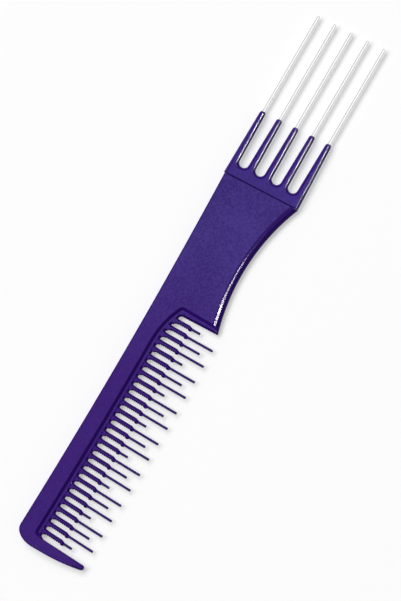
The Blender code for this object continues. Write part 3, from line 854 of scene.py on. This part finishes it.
    def build(self, finish: "AcetalFinish") -> None:
        """Join the mouldings, cut the arched edge, bow the comb and dress it.

        Args:
            finish: Finish of the comb body.
        """
        plan = self.plan
        body = self.spine()
        self.cut_edge(body, plan.half_thickness, self.edge_reach, self.body_inset)
        web = self.web()
        self.cut_edge(web, plan.web_half_thickness, self.flange_edge_reach, self.web_inset)
        combine(body, web, "UNION")
        combine(body, ToothRow(plan).build(), "UNION")
        plan.bow(body)
        clean(body)
        combine(body, self.pocket(), "DIFFERENCE")
        body.name = body.data.name = "comb_body_moulding"
        plan.set_down(body)
        polish(body, self.sharp_above)
        dress(body, finish.build(), "comb_body")


@dataclass
class LiftHead:
    """Head with five domed fingers, each bored for a prong, and a tongue that sits in the handle."""

    plan: CombPlan
    half_thickness: float = 0.00165
    tip_half_thickness: float = 0.0013
    band: float = 0.00415
    finger_root_width: float = 0.0028
    finger_tip_width: float = 0.0021
    finger_tip_length: float = 0.0011
    dome_reach: float = 0.00097
    head_rim: float = 0.0003
    dome_segments: int = 12
    dome_profile: float = 0.42
    tongue_half_thickness: float = 0.0007
    sharp_above: float = 40
    end_clearance: float = 0.0003
    bore_clearance: float = 0.00005

    def outline(self) -> list[Point2]:
        """Plan outline of the head with its fingers and round-bottomed slots."""
        plan = self.plan
        top = plan.head_width / 2
        gap = plan.joint_gap / 2
        points = [(plan.head_line_x(-top) + gap, -top), (plan.head_line_x(top) + gap, top)]
        for index in range(plan.prong_count):
            y = plan.prong_y(index)
            tip = (plan.finger_tip_x(y) - self.finger_tip_length, y)
            points += arc(tip, (self.finger_tip_length, self.finger_tip_width / 2), 90, -90, 20)
            if index < plan.prong_count - 1:
                y -= plan.prong_pitch / 2
                radius = (plan.prong_pitch - self.finger_root_width) / 2
                bottom = (plan.head_line_x(y) + self.band + radius, y)
                points += arc(bottom, (radius, radius), 90, 270, 32)
        return points

    def reach_at(self, start: Vector, end: Vector) -> float:
        """Reach of the dome at an edge: full round the fingers, slight along the handle."""
        if abs(start.z - end.z) > TINY:
            return 0.0
        middle = (start + end) / 2
        is_at_handle = middle.x < self.plan.head_line_x(middle.y) + self.plan.joint_gap
        return self.head_rim if is_at_handle else self.dome_reach

    def build(self, finish: "AcetalFinish") -> None:
        """Dome the plate, thin its fingers, add the tongue, bore the fingers and dress the head.

        Args:
            finish: Finish of the head.
        """
        plan = self.plan
        head = cut_blank("lift_head_moulding", self.outline(), -self.half_thickness, self.half_thickness)
        dome_edges(head, self.reach_at, self.dome_reach, self.dome_segments, self.dome_profile)
        loss = 1 - self.tip_half_thickness / self.half_thickness
        for vertex in head.data.vertices:
            along = (vertex.co.x - plan.body_length) / plan.head_length
            vertex.co.z *= 1 - loss * max(0.0, along)
        half = self.tongue_half_thickness
        combine(head, cut_blank("tongue", plan.tongue(0.0), -half, half), "UNION")
        depth = plan.prong_embed + self.end_clearance
        for index in range(plan.prong_count):
            y = plan.prong_y(index)
            place = (plan.finger_tip_x(y), y, 0)
            bore = start_rod(plan.prong_radius + self.bore_clearance, 2 * depth, place)
            combine(head, bore, "DIFFERENCE")
        clean(head)
        plan.set_down(head)
        polish(head, self.sharp_above)
        dress(head, finish.build(), "lift_head")


@dataclass
class Prongs:
    """The five steel prongs."""

    plan: CombPlan
    tip_round: float = 0.00055
    butt_chamfer: float = 0.00015
    tip_segments: int = 8
    sharp_above: float = 40

    def rod(self) -> Piece:
        """Turn one straight rod along X, with its butt at the origin and a domed tip."""
        length = self.plan.prong_embed + self.plan.prong_reach
        rod = start_rod(self.plan.prong_radius, length, (length / 2, 0, 0))
        bpy.ops.object.transform_apply(location=True, rotation=True, scale=True)

        def radius_at(start: Vector, end: Vector) -> float:
            """Round the rim of the tip, and break the rim of the butt."""
            if abs(start.x - end.x) > TINY:
                return 0.0
            return self.tip_round if start.x > length / 2 else self.butt_chamfer

        round_edges(rod, radius_at, self.tip_round, self.tip_segments)
        return rod

    def build(self, finish: "SteelFinish") -> None:
        """Copy the rod into each finger, and dress the copies.

        Args:
            finish: Finish of the steel.
        """
        plan = self.plan
        rod = self.rod()
        clean(rod)
        material = finish.build()
        for index in range(plan.prong_count):
            prong = rod.copy()
            prong.data = rod.data.copy()
            prong.name = prong.data.name = f"prong_rod_{index + 1}"
            bpy.context.scene.collection.objects.link(prong)
            y = plan.prong_y(index)
            place = (plan.finger_tip_x(y) - plan.prong_embed, y, 0)
            prong.data.transform(Matrix.Translation(place))
            plan.set_down(prong)
            polish(prong, self.sharp_above)
            dress(prong, material, f"prong_{index + 1}")
        bpy.data.objects.remove(rod, do_unlink=True)


class NodeDesk:
    """Adds, sets and joins the nodes of one material or node group."""

    def __init__(self, tree: NodeTree) -> None:
        """Start work on a tree."""
        self.tree = tree

    def add(self, kind: str, settings: dict[str, object] | None = None, **inputs: object) -> bpy.types.Node:
        """Add a node.

        Args:
            kind: Blender's type name of the node.
            settings: Values for the node's own settings.
            **inputs: Inputs by name, with underscores for spaces, or by number after "at".
                A socket is joined and anything else is set.

        Returns:
            The new node.
        """
        node = self.tree.nodes.new(kind)
        for name, value in (settings or {}).items():
            setattr(node, name, value)
        for name, value in inputs.items():
            socket = node.inputs[int(name[2:])] if name[2:].isdigit() else node.inputs[name.replace("_", " ")]
            if isinstance(value, Socket):
                self.tree.links.new(value, socket)
            else:
                socket.default_value = value
        return node

    def sum(self, operation: str, *terms: object) -> Socket:
        """Work out a sum of one to three terms, and return its result."""
        inputs = {f"at{place}": term for place, term in enumerate(terms)}
        return self.add("ShaderNodeMath", {"operation": operation}, **inputs).outputs[0]

    def mix(self, share: Socket, low: object, high: object) -> Socket:
        """Mix two colours by a share, and return the result."""
        return self.add("ShaderNodeMix", {"data_type": "RGBA"}, at0=share, at6=low, at7=high).outputs[2]

    def ramp(self, value: Socket, low: float, high: float, start: float = 0.0, end: float = 1.0) -> Socket:
        """Map a value from start..end to low..high, held at both ends."""
        inputs = {"Value": value, "From_Min": start, "From_Max": end, "To_Min": low, "To_Max": high}
        return self.add("ShaderNodeMapRange", None, **inputs).outputs["Result"]


class SurfaceEffect(Enum):
    """Effects that more than one finish uses, each a node group that is built once."""

    GRAIN = "moulded_grain"
    FACES = "flat_face_mask"
    HANDLING = "handling_marks"

    def tree(self) -> NodeTree:
        """Build the node group, or find it again."""
        known = bpy.data.node_groups.get(self.value)
        if known is not None:
            return known
        tree = bpy.data.node_groups.new(self.value, "ShaderNodeTree")
        builders = {
            SurfaceEffect.GRAIN: self.build_grain,
            SurfaceEffect.FACES: self.build_faces,
            SurfaceEffect.HANDLING: self.build_handling,
        }
        builders[self](tree)
        return tree

    @staticmethod
    def open_group(tree: NodeTree, inputs: dict[str, float],
                   outputs: Sequence[str]) -> tuple[NodeDesk, bpy.types.Node]:
        """Give a new group its numbers.

        Args:
            tree: The empty group.
            inputs: Names and first values of the numbers that go in.
            outputs: Names of those that come out.

        Returns:
            The desk to work on the group, and the node that holds what goes in.
        """
        for name, value in inputs.items():
            socket = tree.interface.new_socket(name=name, in_out="INPUT", socket_type="NodeSocketFloat")
            socket.default_value = value
        for name in outputs:
            tree.interface.new_socket(name=name, in_out="OUTPUT", socket_type="NodeSocketFloat")
        desk = NodeDesk(tree)
        return desk, desk.add("NodeGroupInput")

    @staticmethod
    def build_grain(tree: NodeTree) -> None:
        """Fine spark-eroded grain and the faint clouds of a moulded face."""
        desk, given = SurfaceEffect.open_group(tree, {"Grains": 1300.0, "Clouds": 60.0}, ("Height", "Tone"))
        place = desk.add("ShaderNodeTexCoord").outputs["Object"]
        fine = desk.add("ShaderNodeTexNoise", None, Vector=place, Scale=given.outputs["Grains"],
                        Detail=3.0, Roughness=0.6)
        broad = desk.add("ShaderNodeTexNoise", None, Vector=place, Scale=given.outputs["Clouds"],
                         Detail=4.0, Roughness=0.55)
        clouds = desk.sum("MULTIPLY", broad.outputs["Fac"], 1 - FINE_SHARE)
        tone = desk.sum("MULTIPLY_ADD", fine.outputs["Fac"], FINE_SHARE, clouds)
        desk.add("NodeGroupOutput", None, Height=fine.outputs["Fac"], Tone=tone)

    @staticmethod
    def build_faces(tree: NodeTree) -> None:
        """One on faces that lie flat, and zero on rims, coves and flanks."""
        desk, given = SurfaceEffect.open_group(tree, {"Start": 0.99, "End": 0.9995}, ("Flat",))
        normal = desk.add("ShaderNodeTexCoord").outputs["Normal"]
        tilt = desk.sum("ABSOLUTE", desk.add("ShaderNodeSeparateXYZ", None, Vector=normal).outputs["Z"])
        flat = desk.ramp(tilt, 0.0, 1.0, given.outputs["Start"], given.outputs["End"])
        desk.add("NodeGroupOutput", None, Flat=flat)

    @staticmethod
    def build_handling(tree: NodeTree) -> None:
        """Hairline marks along the piece and faint smudges from being held."""
        desk, given = SurfaceEffect.open_group(tree, {"Lines": 2500.0, "Length": 60.0}, ("Marks", "Smudges"))
        place = desk.add("ShaderNodeTexCoord").outputs["Object"]
        parts = desk.add("ShaderNodeSeparateXYZ", None, Vector=place)
        along = desk.sum("MULTIPLY", parts.outputs["X"], given.outputs["Length"])
        across = [desk.sum("MULTIPLY", parts.outputs[name], given.outputs["Lines"]) for name in ("Y", "Z")]
        drawn = desk.add("ShaderNodeCombineXYZ", None, X=along, Y=across[0], Z=across[1])
        lines = desk.add("ShaderNodeTexNoise", None, Vector=drawn.outputs[0], Scale=1.0, Detail=4.0)
        smudge = desk.add("ShaderNodeTexNoise", None, Vector=place, Scale=45.0, Detail=2.0, Distortion=0.8)
        desk.add("NodeGroupOutput", None, Marks=lines.outputs["Fac"],
                 Smudges=desk.ramp(smudge.outputs["Fac"], 0.0, 1.0, *SMUDGE_BAND))

    def place(self, desk: NodeDesk, **inputs: float) -> bpy.types.Node:
        """Put the effect into a material with its own values."""
        return desk.add("ShaderNodeGroup", {"node_tree": self.tree()}, **inputs)


def new_material(name: str) -> tuple[bpy.types.Material, NodeDesk]:
    """Make an empty material with an output, and the desk to work on it."""
    material = bpy.data.materials.new(name)
    material.use_nodes = True
    material.node_tree.nodes.clear()
    return material, NodeDesk(material.node_tree)


@dataclass(frozen=True)
class AcetalFinish:
    """Violet acetal: matt grain on the flat faces and polished rims and slopes, with painted shade darkening
    the rims and slopes and a painted sheen lightening the matt grip.
    """

    name: str
    colour: Colour
    shade: Colour
    smooth: Colour
    # Painted shade: the dark colour given to rims, slopes and flanks in place of the grain.
    painted_rim_shade: Colour
    # Painted sheen: along X the colour fades from the darker smooth spine to the lighter matt grip.
    painted_sheen_start: float
    painted_sheen_end: float
    flat_roughness: float
    rim_roughness: float
    grain_height: float
    specular_level: float = 0.1
    tone_band: Point2 = (0.4, 0.6)
    painted_sheen_least: float = 0.35
    mark_roughness: Point2 = (-0.02, 0.03)
    smudge_roughness: float = -0.03
    rim_grain: float = 0.15
    grain_strength: float = 0.6

    def build(self) -> bpy.types.Material:
        """Build the material."""
        material, desk = new_material(self.name)
        grain = SurfaceEffect.GRAIN.place(desk)
        flat = SurfaceEffect.FACES.place(desk).outputs["Flat"]
        handling = SurfaceEffect.HANDLING.place(desk)
        face = desk.mix(desk.ramp(grain.outputs["Tone"], 0.0, 1.0, *self.tone_band), self.shade, self.colour)
        place = desk.add("ShaderNodeTexCoord").outputs["Object"]
        along = desk.add("ShaderNodeSeparateXYZ", None, Vector=place).outputs["X"]
        # Painted sheen: the matt grip is lightened and the smooth spine kept darker, by place along X.
        painted_sheen = desk.ramp(along, self.painted_sheen_least, 1.0, self.painted_sheen_start, self.painted_sheen_end)
        # Painted shade: faces that do not lie flat take the dark rim colour, so rims, slopes and flanks read
        # as shaded.
        colour = desk.mix(flat, self.painted_rim_shade, desk.mix(painted_sheen, self.smooth, face))
        marks = desk.ramp(handling.outputs["Marks"], *self.mark_roughness, *MARK_BAND)
        smudges = desk.sum("MULTIPLY", handling.outputs["Smudges"], self.smudge_roughness)
        roughness = desk.sum("ADD", desk.ramp(flat, self.rim_roughness, self.flat_roughness),
                             desk.sum("ADD", marks, smudges))
        height = desk.sum("MULTIPLY", grain.outputs["Height"], desk.ramp(flat, self.rim_grain, 1.0))
        bump = desk.add("ShaderNodeBump", None, Height=height, Distance=self.grain_height,
                        Strength=self.grain_strength)
        shader = desk.add("ShaderNodeBsdfPrincipled", None, Base_Color=colour, Roughness=roughness,
                          Specular_IOR_Level=self.specular_level, Normal=bump.outputs[0])
        desk.add("ShaderNodeOutputMaterial", None, Surface=shader.outputs[0])
        return material


@dataclass(frozen=True)
class SteelFinish:
    """Drawn stainless steel, polished, with fine draw lines along its length."""

    name: str
    colour: Colour
    shade: Colour
    roughness: float
    line_height: float
    lines: float = 9000.0
    line_length: float = 120.0
    polish_share: float = 0.6
    smudge_roughness: float = 0.05
    line_strength: float = 0.3

    def build(self) -> bpy.types.Material:
        """Build the material."""
        material, desk = new_material(self.name)
        drawn = SurfaceEffect.HANDLING.place(desk, Lines=self.lines, Length=self.line_length)
        tone = desk.ramp(drawn.outputs["Marks"], 0.0, 1.0, *MARK_BAND)
        colour = desk.mix(tone, self.shade, self.colour)
        smudges = desk.sum("MULTIPLY", drawn.outputs["Smudges"], self.smudge_roughness)
        sheen = desk.ramp(tone, self.roughness, self.roughness * self.polish_share)
        roughness = desk.sum("ADD", sheen, smudges)
        bump = desk.add("ShaderNodeBump", None, Height=tone, Distance=self.line_height,
                        Strength=self.line_strength)
        shader = desk.add("ShaderNodeBsdfPrincipled", None, Base_Color=colour, Metallic=1.0,
                          Roughness=roughness, Normal=bump.outputs[0])
        desk.add("ShaderNodeOutputMaterial", None, Surface=shader.outputs[0])
        return material


def direction(polar: float, azimuth: float) -> Vector:
    """Direction from the comb, by its angle in degrees from straight up and its angle from +X."""
    polar, azimuth = math.radians(polar), math.radians(azimuth)
    flat = math.sin(polar)
    return Vector((flat * math.cos(azimuth), flat * math.sin(azimuth), math.cos(polar)))


class PanelUse(Enum):
    """What a panel lights."""

    SHADE = "matt surfaces"
    GLEAM = "reflections"
    GLINT = "reflections in one moulding alone"


@dataclass(frozen=True)
class Panel:
    """A flat lamp that faces the comb, with its place and its two widths as angles in degrees."""

    name: str
    use: PanelUse
    polar: float
    azimuth: float
    height: float
    width: float
    level: float
    distance: float = 2.0
    falls_on: str = ""

    def hang(self) -> None:
        """Hang the panel so that it faces the comb."""
        bpy.ops.object.select_all(action="DESELECT")
        bpy.ops.object.light_add(type="AREA")
        panel = bpy.context.object
        panel.name = self.name
        panel.data.shape = "RECTANGLE"
        panel.data.size = 2 * self.distance * math.tan(math.radians(self.height / 2))
        panel.data.size_y = 2 * self.distance * math.tan(math.radians(self.width / 2))
        panel.data.energy = self.level * math.pi * panel.data.size * panel.data.size_y
        panel.visible_diffuse = self.use is PanelUse.SHADE
        panel.visible_glossy = self.use is not PanelUse.SHADE
        if self.use is PanelUse.GLINT:
            receivers = bpy.data.collections.new(f"lit_by_{self.name}")
            receivers.objects.link(bpy.data.objects[self.falls_on])
            panel.light_linking.receiver_collection = receivers
        panel.visible_camera = False
        towards = direction(self.polar, self.azimuth)
        panel.rotation_euler = towards.to_track_quat("Z", "X").to_euler()
        panel.location = towards * self.distance


@dataclass
class Studio:
    """White table, a soft window behind the comb's back edge, and panels for the reflections."""

    floor_size: float = 3.0
    floor_albedo: float = 0.64
    floor_glow: float = 0.441
    ambient: float = 0.21
    surround: float = 0.4
    panels: tuple[Panel, ...] = (
        Panel("window", PanelUse.SHADE, 36.0, 77.0, 27.0, 54.0, 6.4, 8.0),
        Panel("ceiling", PanelUse.GLEAM, 0.0, 0.0, 116.0, 116.0, 0.8, 1.5),
        Panel("near_strip", PanelUse.GLINT, 45.0, -79.4, 20.0, 3.2, 190.0, falls_on="comb_body_moulding"),
        Panel("far_strip", PanelUse.GLINT, 46.5, -87.3, 8.0, 4.8, 100.0, falls_on="comb_body_moulding"),
        Panel("head_strip", PanelUse.GLINT, 48.0, -77.0, 13.0, 26.0, 500.0, falls_on="lift_head_moulding"),
    )

    @staticmethod
    def backdrop_ray(desk: NodeDesk) -> Socket:
        """One for rays that see the background: from the camera, in a reflection or through glass."""
        path = desk.add("ShaderNodeLightPath").outputs
        return desk.sum("MAXIMUM", path["Is Camera Ray"],
                        desk.sum("MAXIMUM", path["Is Glossy Ray"], path["Is Transmission Ray"]))

    def lay_floor(self) -> None:
        """Lay the white table top, which keeps the comb's shadow."""
        material, desk = new_material("white_table")
        seen = self.backdrop_ray(desk)
        albedo = (self.floor_albedo,) * 3 + (1.0,)
        diffuse = desk.add("ShaderNodeBsdfDiffuse", None, Color=albedo)
        glow = desk.add("ShaderNodeEmission", None, Strength=desk.sum("MULTIPLY", seen, self.floor_glow))
        both = desk.add("ShaderNodeAddShader", None, at0=diffuse.outputs[0], at1=glow.outputs[0])
        desk.add("ShaderNodeOutputMaterial", None, Surface=both.outputs[0])
        bpy.ops.object.select_all(action="DESELECT")
        bpy.ops.mesh.primitive_plane_add(size=self.floor_size)
        floor = bpy.context.object
        floor.name = "table_top"
        floor.data.materials.append(material)

    def light_world(self) -> None:
        """Fill from all sides, with a dimmer surround in reflections."""
        world = bpy.data.worlds.new("studio")
        world.use_nodes = True
        world.node_tree.nodes.clear()
        desk = NodeDesk(world.node_tree)
        glossy = desk.add("ShaderNodeLightPath").outputs["Is Glossy Ray"]
        white = desk.ramp(self.backdrop_ray(desk), self.ambient, 1.0)
        strength = desk.sum("MULTIPLY", white, desk.ramp(glossy, 1.0, self.surround))
        background = desk.add("ShaderNodeBackground", None, Strength=strength)
        desk.add("ShaderNodeOutputWorld", None, Surface=background.outputs[0])
        bpy.context.scene.world = world

    def build(self) -> None:
        """Set up the table, the world and the lamps."""
        self.lay_floor()
        self.light_world()
        for panel in self.panels:
            panel.hang()


@dataclass
class Camera:
    """Camera that looks straight down, turned so that the comb lies as in the photograph."""

    middle: Point2 = (-0.0021, -0.00088)
    height: float = 1.3018
    turn: float = -59.8
    lens: float = 232.8

    def build(self) -> None:
        """Set up the camera and make it the scene's."""
        bpy.ops.object.select_all(action="DESELECT")
        bpy.ops.object.camera_add(location=(*self.middle, self.height),
                                  rotation=(0, 0, math.radians(self.turn)))
        camera = bpy.context.object
        camera.data.lens = self.lens
        bpy.context.scene.camera = camera


def main() -> None:
    """Build the comb piece by piece, then the studio and the camera."""
    logging.basicConfig(level=logging.INFO, format="%(message)s")
    plan = CombPlan()
    # smooth is the spine's colour without the painted sheen of the matt grip.
    smooth = (0.0427, 0.004, 0.173, 1.0)
    # Painted shade for the rims, slopes and flanks of both mouldings.
    painted_rim_shade = (0.028, 0.0015, 0.165, 1.0)
    handle_finish = AcetalFinish(
        "violet_acetal_matt", colour=(0.066, 0.034, 0.25, 1.0), shade=(0.038, 0.0175, 0.174, 1.0),
        smooth=smooth, painted_rim_shade=painted_rim_shade, painted_sheen_start=-0.035, painted_sheen_end=0.012,
        flat_roughness=0.4, rim_roughness=0.12, grain_height=0.00002)
    head_finish = AcetalFinish(
        "violet_acetal_smooth", colour=(0.056, 0.0255, 0.258, 1.0), shade=(0.041, 0.019, 0.195, 1.0),
        smooth=smooth, painted_rim_shade=painted_rim_shade, painted_sheen_start=-0.2, painted_sheen_end=-0.1,
        flat_roughness=0.26, rim_roughness=0.12, grain_height=0.000003)
    steel = SteelFinish("drawn_steel", colour=(0.92, 0.92, 0.93, 1.0), shade=(0.84, 0.84, 0.86, 1.0),
                        roughness=0.2, line_height=0.000004)
    CombMoulding(plan).build(handle_finish)
    LiftHead(plan).build(head_finish)
    Prongs(plan).build(steel)
    Studio().build()
    Camera().build()
    bpy.context.scene.view_settings.view_transform = "Standard"


if __name__ == "__main__":
    main()
